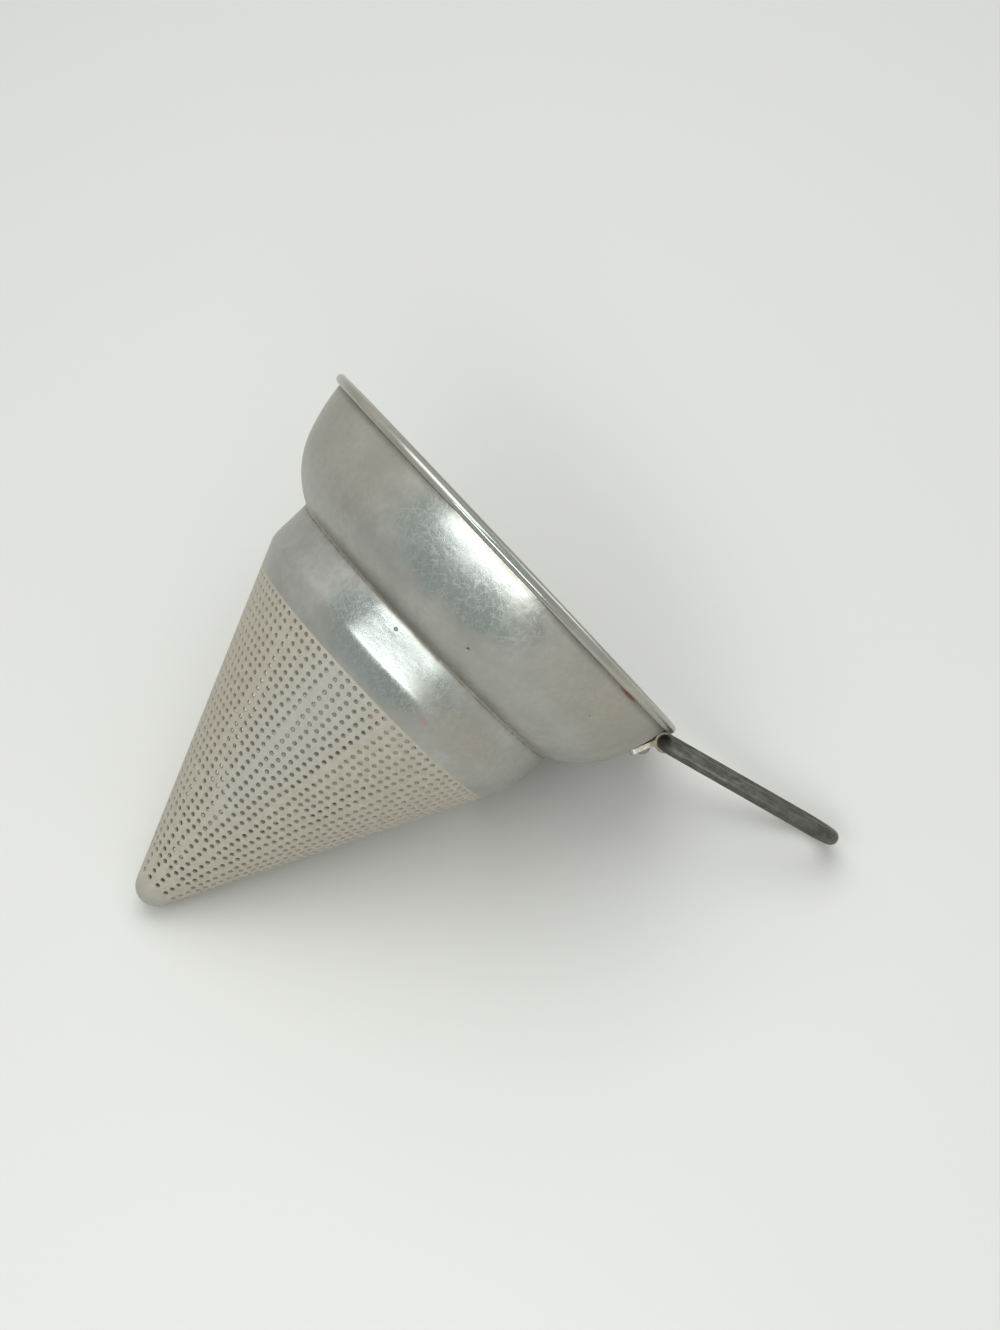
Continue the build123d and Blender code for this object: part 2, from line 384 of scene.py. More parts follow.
def make_cell():
    """A flat cell one unit wide, centred on the origin, with its hole half a unit across."""
    growth = cell_half_width / cell_hole_radius
    bpy.ops.object.select_all(action="DESELECT")
    bpy.ops.mesh.primitive_circle_add(vertices=hole_sides, radius=cell_hole_radius,
                                      fill_type="NOTHING", rotation=(0, 0, math.pi / hole_sides))
    cell = bpy.context.object
    bpy.ops.object.transform_apply(rotation=True)
    bpy.ops.object.mode_set(mode="EDIT")
    bpy.ops.mesh.select_all(action="SELECT")
    bpy.ops.mesh.extrude_edges_move()
    bpy.ops.transform.resize(value=(growth, growth, growth))
    shape = bmesh.from_edit_mesh(cell.data)
    for point in shape.verts:
        if point.select:
            point.co *= cell_half_width / max(abs(point.co.x), abs(point.co.y))
    bpy.ops.object.mode_set(mode="OBJECT")
    return cell


def repeat_cell(cell, columns, rings):
    """Array the cell to the right and down, with the shared edges merged."""
    for count, way in ((columns, (1, 0, 0)), (rings, (0, -1, 0))):
        array = cell.modifiers.new("repeat", "ARRAY")
        array.count = count
        array.use_relative_offset = False
        array.use_constant_offset = True
        array.constant_offset_displace = way
        array.use_merge_vertices = True
        array.merge_threshold = cell_merge_distance
        bpy.ops.object.modifier_apply(modifier=array.name)


# %% [markdown]
# ## Wrapping a sheet round the cone
# A bend modifier would stretch the holes to ovals. So each point is wrapped by rule: the points
# of a hole keep their true distance from its middle, and the points of the squares share out
# what is left. Each sector has a narrow plain stripe on either side. A real punch is never
# quite even, so each hole is moved a little, across and along, by up to 0.08 mm.

# %% Wrap
seam_gap = 0.06
punch_error = 0.08
punching = random.Random(41)
sector_angle = math.tau / sector_count
hole_reach = 0.3
hole_scale = hole_radius / cell_hole_radius


def column_edge(column, columns):
    """Angle of a column's left edge in its sector, whose outer edges take in the plain stripe."""
    if column == 0:
        return -sector_angle / 2
    if column == columns:
        return sector_angle / 2
    return (column - columns / 2) * (sector_angle - stripe_angle) / columns


def place_on_cone(turn, depth):
    """The point of the cone's outside at that turn from the handle and that depth, in mm."""
    radius = cone_radius_at(depth)
    return Vector((radius * math.cos(turn), radius * math.sin(turn), -depth)) * mm


def wrap_sheet(sheet, columns, rings, first_depth):
    """Wrap a flat sheet of cells round the cone. Points within hole_reach cells belong to a hole."""
    slips = {}
    for point in sheet.data.vertices:
        right, up = point.co.x, point.co.y
        column = min(max(round(right), 0), sector_count * columns - 1)
        ring = min(max(round(-up), 0), rings - 1)
        sector, in_sector = divmod(column, columns)
        middle = (in_sector - (columns - 1) / 2) * (sector_angle - stripe_angle) / columns
        depth = first_depth + ring * ring_step
        if math.hypot(right - column, up + ring) < hole_reach:
            if (column, ring) not in slips:
                slips[(column, ring)] = [punching.uniform(-punch_error, punch_error) for _ in range(2)]
            slip_across, slip_down = slips[(column, ring)]
            across = (right - column) * hole_scale + slip_across
            down = -(up + ring) * hole_scale + slip_down
            depth += down * math.cos(cone_slope)
            turn = middle + across / cone_radius_at(depth)
        else:
            left_edge = column_edge(in_sector, columns)
            right_edge = column_edge(in_sector + 1, columns)
            turn = left_edge + (right - column + 0.5) * (right_edge - left_edge)
            depth -= (up + ring) * ring_step
            top = first_depth - ring_step / 2 + seam_gap
            bottom = first_depth + (rings - 0.5) * ring_step - seam_gap
            depth = min(max(depth, top), bottom)
        point.co = place_on_cone(first_sector_turn + sector * sector_angle + turn, depth)


# %% Make the seven zones and join them to the plain parts
zones = []
zone_depth = first_ring_depth
borders = [(holes_start, holes_start + seam_gap)]
for rings, columns in zip(zone_rings, zone_columns):
    zone = make_cell()
    zone.name = f"zone_{columns}"
    repeat_cell(zone, sector_count * columns, rings)
    wrap_sheet(zone, columns, rings, zone_depth)
    bpy.ops.object.mode_set(mode="EDIT")
    bpy.ops.mesh.select_all(action="SELECT")
    bpy.ops.mesh.remove_doubles(threshold=merge_distance)
    bpy.ops.object.mode_set(mode="OBJECT")
    zones.append(zone)
    zone_depth += rings * ring_step
    zone_end = zone_depth - ring_step / 2
    borders.append((zone_end - seam_gap, zone_end + seam_gap))
borders[-1] = (holes_end - seam_gap, holes_end)
holes_per_sector = sum(rings * columns for rings, columns in zip(zone_rings, zone_columns))
print("holes:", sector_count * holes_per_sector)

bpy.ops.object.select_all(action="DESELECT")
for piece in [shell, tip] + zones:
    piece.select_set(True)
bpy.context.view_layer.objects.active = shell
bpy.ops.object.join()

# %% Bridge each border with a narrow strip
border_reach = 0.02 * mm
bpy.ops.object.mode_set(mode="EDIT")
bpy.ops.mesh.select_mode(type="EDGE")
for upper, lower in borders:
    bpy.ops.mesh.select_all(action="DESELECT")
    shape = bmesh.from_edit_mesh(shell.data)
    for edge in shape.edges:
        if edge.is_boundary:
            depths = [-point.co.z for point in edge.verts]
            at_border = [min(abs(depth - upper * mm), abs(depth - lower * mm)) < border_reach
                         for depth in depths]
            level = abs(depths[0] - depths[1]) < border_reach
            edge.select_set(all(at_border) and level)
    bmesh.update_edit_mesh(shell.data)
    bpy.ops.mesh.bridge_edge_loops()
bpy.ops.mesh.select_all(action="SELECT")
bpy.ops.mesh.normals_make_consistent(inside=False)
bpy.ops.object.mode_set(mode="OBJECT")

# %% [markdown]
# ## The wall
# Solidify gives the sheet its 0.9 mm and, with it, the walls of all the holes and the cut edge
# of the rolled lip. The wall grows inwards, because the outline is that of the outside.

# %% Give the sheet its wall
inside_band_depth = 60
smooth_angle = math.radians(32)
band_face = min(shell.data.polygons, key=lambda face: abs(face.center.z + inside_band_depth * mm))
outwards = band_face.normal.x * band_face.center.x + band_face.normal.y * band_face.center.y > 0
print("faces point outwards:", outwards)
solidify = shell.modifiers.new("wall", "SOLIDIFY")
solidify.thickness = wall * mm
solidify.offset = -1
solidify.use_even_offset = True
bpy.context.view_layer.objects.active = shell
shell.select_set(True)
bpy.ops.object.modifier_apply(modifier=solidify.name)
bpy.ops.object.shade_smooth_by_angle(angle=smooth_angle)
lay_down(shell)
print("shell triangles:", triangles(shell))

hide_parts("strainer_shell")
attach(shell, "root")

# %% [markdown]
# ## Finishes: where a point is on the strainer
# Wear and stains follow the upright strainer, not the table. The first node group turns a
# point's place back upright, in mm, and gives its depth below the rim, its distance from the
# axis, and its turn round the axis. The turn is 0 on the side that the camera sees and grows
# towards the handle, so its seam is on the far side.

# %% Small helpers for nodes


def calculate(tree, operation, *values, clamp=False):
    """A math node's result. Values are numbers or outputs."""
    made = add_node(tree, "ShaderNodeMath", dict(enumerate(values)), operation=operation, use_clamp=clamp)
    return made.outputs[0]


def long_side(tree, first, second):
    """The long side of a right-angled triangle from its two short sides."""
    squares = [calculate(tree, "MULTIPLY", side, side) for side in (first, second)]
    return calculate(tree, "SQRT", calculate(tree, "ADD", *squares))


def remap(tree, value, low, high, to_low=0.0, to_high=1.0):
    """Smoothly map low...high to to_low...to_high, and hold the ends."""
    limits = {"From Min": low, "From Max": high, "To Min": to_low, "To Max": to_high}
    return add_node(tree, "ShaderNodeMapRange", {"Value": value, **limits},
                    interpolation_type="SMOOTHSTEP").outputs["Result"]


def blend_colours(tree, share, first, second):
    """First colour where the share is 0, second where it is 1."""
    return add_node(tree, "ShaderNodeMix", {0: share, 6: first, 7: second}, data_type="RGBA").outputs[2]


def lay_over(tree, base, mask, share, top):
    """The base colour, with that share of the top colour where the mask is 1."""
    return blend_colours(tree, calculate(tree, "MULTIPLY", mask, share), base, top)


def add_marks(tree, value, *marks):
    """Add to a value each mark's change where its mask is 1. Marks are (mask, change)."""
    for mask, change in marks:
        value = calculate(tree, "ADD", value, calculate(tree, "MULTIPLY", mask, change))
    return value


def vector_of(tree, x, y, z):
    """A vector from three numbers or outputs."""
    return add_node(tree, "ShaderNodeCombineXYZ", {"X": x, "Y": y, "Z": z}).outputs[0]


def noise(tree, place, scale, detail, roughness=0.5):
    """Cloudy noise from 0 to 1 round 0.5."""
    return add_node(tree, "ShaderNodeTexNoise", {"Vector": place, "Scale": scale, "Detail": detail,
                                                 "Roughness": roughness}).outputs[0]


def start_group(name, inputs, outputs):
    """A node group with named inputs and outputs. Inputs are (name, kind, value)."""
    group = bpy.data.node_groups.new(name, "ShaderNodeTree")
    for socket_name, kind, value in inputs:
        made = group.interface.new_socket(name=socket_name, in_out="INPUT", socket_type=kind)
        if value is not None:
            made.default_value = value
    for socket_name, kind in outputs:
        group.interface.new_socket(name=socket_name, in_out="OUTPUT", socket_type=kind)
    return group, group.nodes.new("NodeGroupInput").outputs, group.nodes.new("NodeGroupOutput").inputs


def use_group(tree, group, **values):
    """Place a group and fill its inputs, named with _ for each space."""
    named = {name.replace("_", " "): value for name, value in values.items()}
    return add_node(tree, "ShaderNodeGroup", named, node_tree=group).outputs


NUMBER = "NodeSocketFloat"
PLACE = "NodeSocketVector"

# %% The upright place
camera_side_radius = 80.0
metres_to_mm = (1 / mm, 1 / mm, 1 / mm)
upright_place, _, out = start_group(
    "upright_place", [],
    [("Upright", PLACE), ("Depth", NUMBER), ("Radius", NUMBER), ("Turn", NUMBER), ("Around", NUMBER),
     ("Ring", PLACE)])
tree = upright_place
own_place = add_node(tree, "ShaderNodeTexCoord")
upright = add_node(tree, "ShaderNodeMapping", {"Vector": own_place.outputs["Object"],
                                               "Rotation": lying.transposed().to_euler(),
                                               "Scale": metres_to_mm}).outputs[0]
parts = add_node(tree, "ShaderNodeSeparateXYZ", {0: upright}).outputs
depth = calculate(tree, "MULTIPLY", parts["Z"], -1.0)
across = calculate(tree, "MULTIPLY", parts["Y"], -1.0)
radius = long_side(tree, parts["X"], parts["Y"])
turn = calculate(tree, "ARCTAN2", parts["X"], across)
ring = vector_of(tree, calculate(tree, "DIVIDE", parts["X"], radius),
                 calculate(tree, "DIVIDE", parts["Y"], radius), 0.0)
for name, value in (("Upright", upright), ("Depth", depth), ("Radius", radius), ("Turn", turn),
                    ("Around", calculate(tree, "MULTIPLY", turn, camera_side_radius)), ("Ring", ring)):
    tree.links.new(value, out[name])
print("the upright place gives:", ", ".join(socket.name for socket in out if socket.name))

# %% [markdown]
# ## Finishes: scratches, spots, grain and pits
# Old metal carries four kinds of marks. Fine scratches run any way, so they are thin contour
# lines of a noise that is stretched one way, and broken up by a second noise. Stained or
# polished patches are ovals with a ragged edge. The lathe leaves a grain of rings, and use
# leaves small pits. Each is a group that gives a mask or a value, so that it can be placed as
# often as it is needed, and each finish decides what the mask does.

# %% Scratches that run one way
break_rate = 2.5
break_seed = 17.3
break_softness = 0.08
scratches, values, out = start_group(
    "scratches",
    [("Around", NUMBER, 0.0), ("Depth", NUMBER, 0.0), ("Angle", NUMBER, 0.0), ("Spacing", NUMBER, 4.0),
     ("Length", NUMBER, 30.0), ("Width", NUMBER, 0.02), ("Seed", NUMBER, 0.0), ("Broken", NUMBER, 0.5)],
    [("Mask", NUMBER)])
tree = scratches
flat_place = vector_of(tree, values["Around"], values["Depth"], 0.0)
turned = add_node(tree, "ShaderNodeVectorRotate", {"Vector": flat_place, "Angle": values["Angle"]},
                  rotation_type="Z_AXIS").outputs[0]
parts = add_node(tree, "ShaderNodeSeparateXYZ", {0: turned}).outputs
stretched = vector_of(tree, calculate(tree, "DIVIDE", parts["X"], values["Spacing"]),
                      calculate(tree, "DIVIDE", parts["Y"], values["Length"]), values["Seed"])
line = calculate(tree, "ABSOLUTE", calculate(tree, "SUBTRACT", noise(tree, stretched, 1.0, 0.0), 0.5))
thin = calculate(tree, "SUBTRACT", 1.0, calculate(tree, "DIVIDE", line, values["Width"]), clamp=True)
broken_length = calculate(tree, "DIVIDE", calculate(tree, "MULTIPLY", parts["Y"], break_rate),
                          values["Length"])
pieces_place = vector_of(tree, calculate(tree, "DIVIDE", parts["X"], values["Spacing"]), broken_length,
                         calculate(tree, "ADD", values["Seed"], break_seed))
kept = remap(tree, noise(tree, pieces_place, 1.0, 0.0), values["Broken"],
             calculate(tree, "ADD", values["Broken"], break_softness))
tree.links.new(calculate(tree, "MULTIPLY", thin, kept), out["Mask"])

# %% An oval spot with a ragged edge
spot, values, out = start_group(
    "spot",
    [("Turn", NUMBER, 0.0), ("Depth", NUMBER, 0.0), ("Upright", PLACE, None), ("Middle Turn", NUMBER, 0.0),
     ("Middle Depth", NUMBER, 0.0), ("Half Turn", NUMBER, 0.1), ("Half Depth", NUMBER, 10.0),
     ("Soft", NUMBER, 0.3), ("Ragged", NUMBER, 0.5), ("Grain", NUMBER, 0.1)],
    [("Mask", NUMBER)])
tree = spot
along = calculate(tree, "DIVIDE", calculate(tree, "SUBTRACT", values["Turn"], values["Middle Turn"]),
                  values["Half Turn"])
down = calculate(tree, "DIVIDE", calculate(tree, "SUBTRACT", values["Depth"], values["Middle Depth"]),
                 values["Half Depth"])
far = long_side(tree, along, down)
rag = calculate(tree, "SUBTRACT", noise(tree, values["Upright"], values["Grain"], 4.0, 0.6), 0.5)
far = calculate(tree, "ADD", far, calculate(tree, "MULTIPLY", rag, values["Ragged"]))
inner = calculate(tree, "SUBTRACT", 1.0, values["Soft"])
mask = remap(tree, far, calculate(tree, "ADD", 1.0, values["Soft"]), inner)
tree.links.new(mask, out["Mask"])

# %% Grain of rings, and small pits
grain_slant = 0.4
grain_drift = 1.5
ring_grain, values, out = start_group(
    "ring_grain",
    [("Ring", PLACE, None), ("Depth", NUMBER, 0.0), ("Radius", NUMBER, 0.0), ("Fineness", NUMBER, 2.0)],
    [("Value", NUMBER)])
tree = ring_grain
parts = add_node(tree, "ShaderNodeSeparateXYZ", {0: values["Ring"]}).outputs
slant = calculate(tree, "SUBTRACT", values["Depth"],
                  calculate(tree, "MULTIPLY", values["Radius"], grain_slant))
place = vector_of(tree, calculate(tree, "MULTIPLY", parts["X"], grain_drift),
                  calculate(tree, "MULTIPLY", parts["Y"], grain_drift),
                  calculate(tree, "MULTIPLY", slant, values["Fineness"]))
tree.links.new(noise(tree, place, 1.0, 3.0, 0.6), out["Value"])

pits, values, out = start_group(
    "pits",
    [("Upright", PLACE, None), ("Spacing", NUMBER, 5.0), ("Size", NUMBER, 0.3), ("Kept", NUMBER, 0.5)],
    [("Mask", NUMBER)])
tree = pits
cells = add_node(tree, "ShaderNodeTexVoronoi",
                 {"Vector": values["Upright"], "Scale": calculate(tree, "DIVIDE", 1.0, values["Spacing"])})
hit = calculate(tree, "MULTIPLY", cells.outputs["Distance"], values["Spacing"])
dot = remap(tree, hit, values["Size"], calculate(tree, "MULTIPLY", values["Size"], 0.5))
chance = add_node(tree, "ShaderNodeSeparateColor", {0: cells.outputs["Color"]}).outputs[0]
chosen = calculate(tree, "LESS_THAN", chance, values["Kept"])
tree.links.new(calculate(tree, "MULTIPLY", dot, chosen), out["Mask"])
print("groups:", ", ".join(group.name for group in (upright_place, scratches, spot, ring_grain, pits)))

# %% [markdown]
# ## The shell's aluminium
# The bowl and the band are dull grey from washing, with brown stains at both ends of the rim.
# Each has a polished, scratched patch on the side that rubs on the shelf, whose darker, bluish
# tint is a painted reflection. The cone was left matte and is warmer in colour, with a painted
# cooler sheen in front, a brown stain and a grey tip. Painted shade darkens the crease, the flank
# under the bead and two dents, dirt and painted shade darken the shell at the clip, and the rim is
# worn bright. All this is one material, because the real shell is one sheet.

# %% Helpers for a material


def start_material(name):
    """A new material, its tree and its shader."""
    material = bpy.data.materials.new(name)
    material.use_nodes = True
    return material, material.node_tree, material.node_tree.nodes["Principled BSDF"]


def finish_bump(tree, shader, height):
    """Bump from a height in mm."""
    bump = add_node(tree, "ShaderNodeBump", {"Height": height, "Distance": mm, "Strength": 1.0})
    tree.links.new(bump.outputs[0], shader.inputs["Normal"])


def colour(red, green, blue):
    """A colour as a node takes it, from the 0-255 values that it should look like, by the sRGB curve."""
    shares = [value / 255 for value in (red, green, blue)]
    return tuple(share / 12.92 if share <= 0.04045 else ((share + 0.055) / 1.055) ** 2.4
                 for share in shares) + (1.0,)


# %% The shell's material: patches and stains
shell_metal, tree, shader = start_material("spun_aluminium")
place = use_group(tree, upright_place)
upright, depth, radius = place["Upright"], place["Depth"], place["Radius"]
turn, around, ring = place["Turn"], place["Around"], place["Ring"]


def shell_spot(middle_turn, middle_depth, half_turn, half_depth, soft, ragged, grain=0.08):
    """A spot on the shell, with its turns in degrees and its depths in mm."""
    return use_group(tree, spot, Turn=turn, Depth=depth, Upright=upright,
                     Middle_Turn=math.radians(middle_turn), Middle_Depth=middle_depth,
                     Half_Turn=math.radians(half_turn), Half_Depth=half_depth,
                     Soft=soft, Ragged=ragged, Grain=grain)["Mask"]


band_polish_and_reflection_starts = (46.2, 48.0)
matte_starts = (74.6, 75.2)
bead_radii = (93.6, 94.2)
bead_depths = (4.4, 3.6)
clouds = noise(tree, upright, 0.035, 4.0, 0.6)
mottle = noise(tree, upright, 0.35, 3.0, 0.6)
fine_mottle = noise(tree, upright, 0.9, 4.0, 0.7)
# Polished patches: real wear with lower roughness, and their darker bluish tint is a painted reflection
bowl_polish_and_reflection = shell_spot(-5, 15, 23, 16, soft=0.25, ragged=0.6, grain=0.12)
band_polish_and_reflection = calculate(tree, "MULTIPLY", shell_spot(-4, 58, 28, 14, soft=0.3, ragged=0.7, grain=0.1),
                        remap(tree, depth, *band_polish_and_reflection_starts))
polish_and_reflection = calculate(tree, "MAXIMUM", bowl_polish_and_reflection, band_polish_and_reflection)
far_stain = shell_spot(-52, 12, 22, 16, soft=0.8, ragged=1.2)
near_stain = shell_spot(50, 13, 36, 13, soft=0.8, ragged=1.4)
band_stain = shell_spot(30, 60, 18, 8, soft=0.8, ragged=1.4)
stain = calculate(tree, "MAXIMUM", far_stain, calculate(tree, "MAXIMUM", near_stain, band_stain))
rust = shell_spot(45, 4.2, 3.2, 0.8, soft=0.5, ragged=0.6, grain=0.8)
pink = shell_spot(18.4, 66.5, 1.6, 1.3, soft=0.5, ragged=0.8, grain=0.7)
cone_share = remap(tree, depth, *matte_starts)
bead_share = calculate(tree, "MULTIPLY", remap(tree, radius, *bead_radii), remap(tree, depth, *bead_depths))

# %% The shell's material: painted shade, dirt at the clip, specks and dents


def band_of_painted_shade(middle_depth, half_width, patchy):
    """A soft ring of painted shade round the shell at that depth, in mm, broken up by the mottle."""
    far = calculate(tree, "ABSOLUTE", calculate(tree, "SUBTRACT", depth, middle_depth))
    return calculate(tree, "MULTIPLY", remap(tree, far, half_width, 0.0),
                     remap(tree, mottle, 0.35, 0.65, 1.0 - patchy, 1.0))


# Painted shade: darker rings in the crease and on the flank under the bead
under_the_bead = remap(tree, radius, 95.4, 95.0)
crease_shade = band_of_painted_shade(45.6, 4.2, 0.3)
crease_shade_line = band_of_painted_shade(46.6, 0.8, 0.6)
shade_below_bead = calculate(tree, "MULTIPLY", band_of_painted_shade(4.2, 2.6, 0.2), under_the_bead)
lip_shade_line = calculate(tree, "MULTIPLY", band_of_painted_shade(3.7, 0.8, 0.3), under_the_bead)
# Dirt and painted shade: the shell is darkened round the clip's tail, between the parts
clip_dirt_and_shade = shell_spot(90, 14, 5.0, 10, soft=0.35, ragged=0.5, grain=0.3)
specks = calculate(tree, "MAXIMUM",
                   use_group(tree, pits, Upright=upright, Spacing=3.2, Size=0.22, Kept=0.22)["Mask"],
                   use_group(tree, pits, Upright=upright, Spacing=12.0, Size=0.5, Kept=0.35)["Mask"])
# Dents: a real dip in the bump, and painted shade darkens their colour
dents_and_painted_shade = calculate(tree, "MAXIMUM", shell_spot(-8.8, 50.0, 0.55, 0.6, soft=0.4, ragged=0.2),
                  shell_spot(8.4, 35.0, 0.42, 0.5, soft=0.4, ragged=0.2))

# %% The shell's material: fine hatching in four ways, and a few long strokes
seed_step = 3.7


def scratch_lines(rows, first_seed):
    """Scratches that run several ways. Rows are (degrees, spacing, length, width, broken)."""
    mask = None
    for number, (angle, spacing, length, width, broken) in enumerate(rows):
        lines = use_group(tree, scratches, Around=around, Depth=depth, Angle=math.radians(angle),
                          Spacing=spacing, Length=length, Width=width,
                          Seed=first_seed + seed_step * number, Broken=broken)["Mask"]
        mask = lines if mask is None else calculate(tree, "MAXIMUM", mask, lines)
    return mask


hatch = scratch_lines([(38, 0.8, 8.0, 0.07, 0.47), (-42, 0.8, 8.0, 0.07, 0.49),
                       (80, 0.9, 9.0, 0.06, 0.51), (5, 1.0, 9.0, 0.06, 0.51)], 0)
strokes = scratch_lines([(-48, 2.6, 60.0, 0.014, 0.64), (62, 2.8, 50.0, 0.014, 0.64),
                         (-15, 3.0, 60.0, 0.014, 0.66)], 20)
hatch_seen = calculate(tree, "MULTIPLY", hatch, remap(tree, polish_and_reflection, 0.1, 0.9, 0.03, 0.6))
strokes_seen = calculate(tree, "MULTIPLY", strokes, remap(tree, polish_and_reflection, 0.0, 1.0, 0.12, 0.7))
scratch_on_polish = calculate(tree, "MAXIMUM", hatch_seen, strokes_seen)

# %% The shell's colour
dull_grey = blend_colours(tree, remap(tree, clouds, 0.35, 0.65),
                          colour(170, 171, 165), colour(184, 184, 178))
dull_grey = blend_colours(tree, remap(tree, mottle, 0.3, 0.7, 0.0, 0.35), dull_grey, colour(160, 159, 151))
# Painted reflection: the polished patches get a darker bluish tint
base = lay_over(tree, dull_grey, polish_and_reflection, 0.75, colour(150, 159, 157))
stain_share = calculate(tree, "MULTIPLY", stain, remap(tree, fine_mottle, 0.3, 0.7, 0.30, 0.62))
base = blend_colours(tree, stain_share, base, colour(162, 152, 134))
cone_grey = blend_colours(tree, remap(tree, mottle, 0.3, 0.7), colour(190, 186, 173), colour(180, 176, 162))
# Painted sheen: a cooler, lighter stripe down the cone's front stands in for a reflection of the lamp
cone_painted_sheen = shell_spot(-9, 104, 15, 38, soft=0.8, ragged=1.2, grain=0.05)
cone_stain = shell_spot(-50, 110, 20, 34, soft=0.8, ragged=1.2)
cone_grey = lay_over(tree, cone_grey, cone_painted_sheen, 0.4, colour(176, 182, 178))
cone_grey = lay_over(tree, cone_grey, cone_stain, 0.25, colour(172, 163, 146))
cone_grey = blend_colours(tree, remap(tree, depth, 196, 202, 0.0, 0.6), cone_grey, colour(170, 172, 170))
base = blend_colours(tree, cone_share, base, cone_grey)
# Painted shade: the crease rings, the rings under the bead and the dents; the clip's mark is dirt and
# painted shade
for mask, share, mark_colour in (
        (crease_shade, 0.45, colour(130, 124, 108)),
        (crease_shade_line, 0.5, colour(96, 88, 74)),
        (shade_below_bead, 0.6, colour(124, 117, 102)),
        (lip_shade_line, 0.6, colour(84, 76, 64)),
        (clip_dirt_and_shade, 0.7, colour(92, 84, 68)),
        (rust, 0.75, colour(120, 62, 48)),
        (pink, 0.35, colour(190, 130, 140)),
        (scratch_on_polish, 0.6, colour(198, 202, 199)),
        (specks, 0.6, colour(70, 66, 60)),
        (dents_and_painted_shade, 0.7, colour(84, 82, 76))):
    base = lay_over(tree, base, mask, share, mark_colour)
tree.links.new(base, shader.inputs["Base Color"])

# %% The shell's gloss and metal
rough = remap(tree, clouds, 0.3, 0.7, 0.40, 0.50)
rough = add_marks(tree, rough, (polish_and_reflection, -0.22), (stain, 0.1), (bead_share, -0.2), (cone_share, 0.25))
rough = calculate(tree, "ADD", rough, calculate(tree, "MULTIPLY", scratch_on_polish, 0.15), clamp=True)
tree.links.new(rough, shader.inputs["Roughness"])
less_metal = calculate(tree, "MAXIMUM", cone_share, calculate(tree, "MULTIPLY", stain, 0.5))
tree.links.new(remap(tree, less_metal, 0.0, 1.0, 0.92, 0.55), shader.inputs["Metallic"])

# %% The shell's small relief, in mm
grain = use_group(tree, ring_grain, Ring=ring, Depth=depth, Radius=radius, Fineness=3.0)["Value"]
sand = noise(tree, upright, 6.0, 2.0)
height = calculate(tree, "MULTIPLY", grain, 0.012)
height = add_marks(tree, height, (clouds, 0.35), (scratch_on_polish, -0.008), (specks, -0.05),
                   (dents_and_painted_shade, -0.3), (sand, remap(tree, cone_share, 0.0, 1.0, 0.002, 0.012)))
finish_bump(tree, shader, height)
shell.data.materials.clear()
shell.data.materials.append(shell_metal)
print("nodes in", shell_metal.name, "material:", len(tree.nodes))

# %% [markdown]
# ## The handle's steel
# The handle is bare dark steel. Hands have rubbed it brighter in long streaks near the clip.
# The streaks run along the rod, so the noise's place is turned to the handle's own direction
# and stretched along it.

# %% Handle material
worn_middle = 22.0
worn_reach = (24.0, 6.0)
handle_rise = math.radians(16.8)
handle_along = lying @ Vector((math.cos(handle_rise), 0, math.sin(handle_rise)))
handle_across = lying @ Vector((0, 1, 0))
handle_axes = Matrix((handle_along, handle_across, handle_along.cross(handle_across)))
handle_root = Vector((98.30, 0, -7.62))

handle_steel, tree, shader = start_material("dark_rod_steel")
own_place = add_node(tree, "ShaderNodeTexCoord").outputs["Object"]
along_handle = add_node(tree, "ShaderNodeMapping",
                        {"Vector": own_place, "Rotation": handle_axes.to_euler(),
                         "Scale": metres_to_mm}).outputs[0]
parts = add_node(tree, "ShaderNodeSeparateXYZ", {0: along_handle}).outputs
start_along = (handle_axes @ (lying @ handle_root)).x
distance_out = calculate(tree, "SUBTRACT", parts["X"], start_along)
streak_place = vector_of(tree, calculate(tree, "MULTIPLY", parts["X"], 0.12), parts["Y"], parts["Z"])
streaks = noise(tree, streak_place, 0.9, 4.0, 0.65)
blots = noise(tree, along_handle, 0.25, 3.0, 0.6)
from_worn_middle = calculate(tree, "ABSOLUTE", calculate(tree, "SUBTRACT", distance_out, worn_middle))
worn = calculate(tree, "MULTIPLY", remap(tree, streaks, 0.45, 0.62),
                 remap(tree, from_worn_middle, *worn_reach, 0.25, 1.0))
worn_colour = colour(140, 139, 132)
base = blend_colours(tree, remap(tree, blots, 0.35, 0.65), colour(82, 82, 77), colour(98, 97, 91))
base = lay_over(tree, base, worn, 0.45, worn_colour)
marks = use_group(tree, pits, Upright=along_handle, Spacing=9.0, Size=1.2, Kept=0.3)["Mask"]
base = lay_over(tree, base, marks, 0.3, worn_colour)
tree.links.new(base, shader.inputs["Base Color"])
shader.inputs["Metallic"].default_value = 0.75
tree.links.new(remap(tree, streaks, 0.3, 0.7, 0.62, 0.42), shader.inputs["Roughness"])
height = add_marks(tree, calculate(tree, "MULTIPLY", streaks, 0.05), (blots, 0.15))
finish_bump(tree, shader, height)
print("the handle rises by", round(math.degrees(handle_rise), 1), "degrees over the rim")
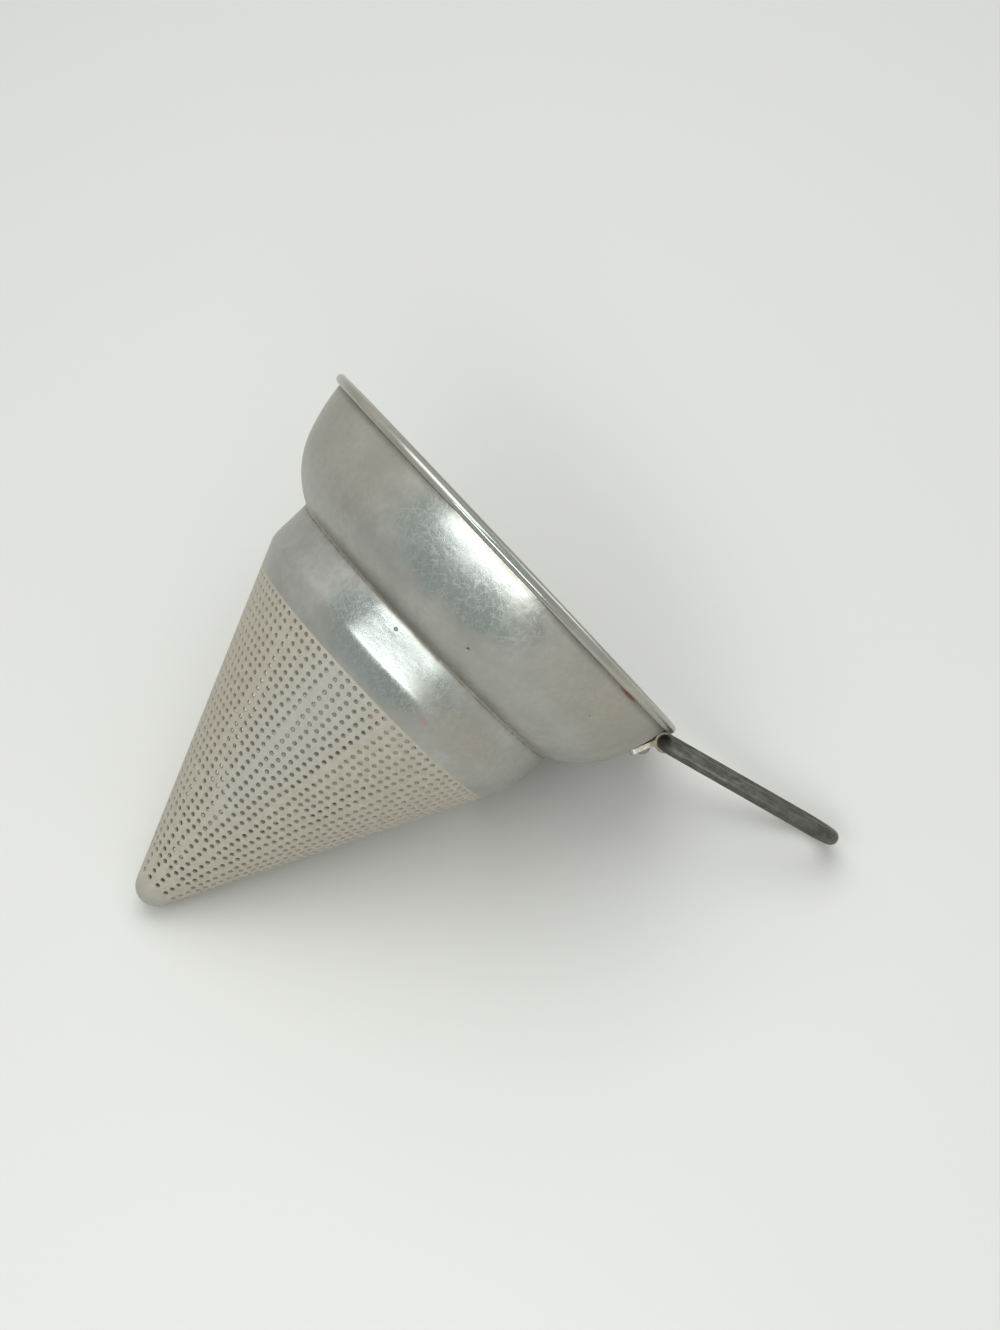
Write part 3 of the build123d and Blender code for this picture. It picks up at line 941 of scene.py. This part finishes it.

# %% [markdown]
# ## The clip, the rivets and the wire
# The clip is softer metal than the rod, and its outer edges are worn bright. Its knuckle, where
# it goes round the rod just below the rim, is tan with old dirt and painted shade, so this mark
# follows the distance from the root bar. The rivets are duller, and the wire inside the bead has
# begun to rust.

# %% Clip material
knuckle_dirt_and_shade_reach = (9.5, 8.0)
clip_metal, tree, shader = start_material("clip_aluminium")
place = use_group(tree, upright_place)
upright = place["Upright"]
mottle = noise(tree, upright, 0.8, 4.0, 0.6)
dirt = remap(tree, noise(tree, upright, 0.45, 3.0, 0.6), 0.45, 0.6)
base = blend_colours(tree, mottle, colour(176, 170, 156), colour(212, 210, 202))
from_root = add_node(tree, "ShaderNodeVectorMath", {0: upright, 1: handle_root},
                     operation="DISTANCE").outputs["Value"]
# Dirt and painted shade: the knuckle just below the rim is darkened tan
knuckle_dirt_and_shade = remap(tree, from_root, *knuckle_dirt_and_shade_reach)
base = lay_over(tree, base, dirt, 0.5, colour(150, 136, 114))
base = lay_over(tree, base, knuckle_dirt_and_shade, 0.85, colour(136, 128, 108))
tree.links.new(base, shader.inputs["Base Color"])
shader.inputs["Metallic"].default_value = 0.8
tree.links.new(remap(tree, mottle, 0.3, 0.7, 0.28, 0.5), shader.inputs["Roughness"])
finish_bump(tree, shader, calculate(tree, "MULTIPLY", mottle, 0.12))

# %% Rivet and wire materials
rivet_metal, tree, shader = start_material("rivet_aluminium")
place = use_group(tree, upright_place)
mottle = noise(tree, place["Upright"], 0.9, 3.0, 0.6)
base = blend_colours(tree, mottle, colour(128, 126, 116), colour(176, 174, 164))
tree.links.new(base, shader.inputs["Base Color"])
shader.inputs["Metallic"].default_value = 0.8
shader.inputs["Roughness"].default_value = 0.45
finish_bump(tree, shader, calculate(tree, "MULTIPLY", mottle, 0.06))

wire_metal, tree, shader = start_material("rim_wire_steel")
place = use_group(tree, upright_place)
rusty = remap(tree, noise(tree, place["Upright"], 0.5, 4.0, 0.6), 0.4, 0.6)
base = blend_colours(tree, rusty, colour(92, 88, 82), colour(104, 66, 48))
tree.links.new(base, shader.inputs["Base Color"])
shader.inputs["Metallic"].default_value = 0.6
tree.links.new(remap(tree, rusty, 0.0, 1.0, 0.5, 0.8), shader.inputs["Roughness"])

# %% Give the solids their materials
solid_materials = {"handle_loop": handle_steel, "handle_clip": clip_metal,
                   "clip_rivets": rivet_metal, "rim_wire": wire_metal}
for name, material in solid_materials.items():
    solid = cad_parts[name]
    solid.data.materials.clear()
    solid.data.materials.append(material)
    print(name, "has", material.name)

# %% Finish with the Standard view transform
bpy.context.scene.view_settings.view_transform = "Standard"
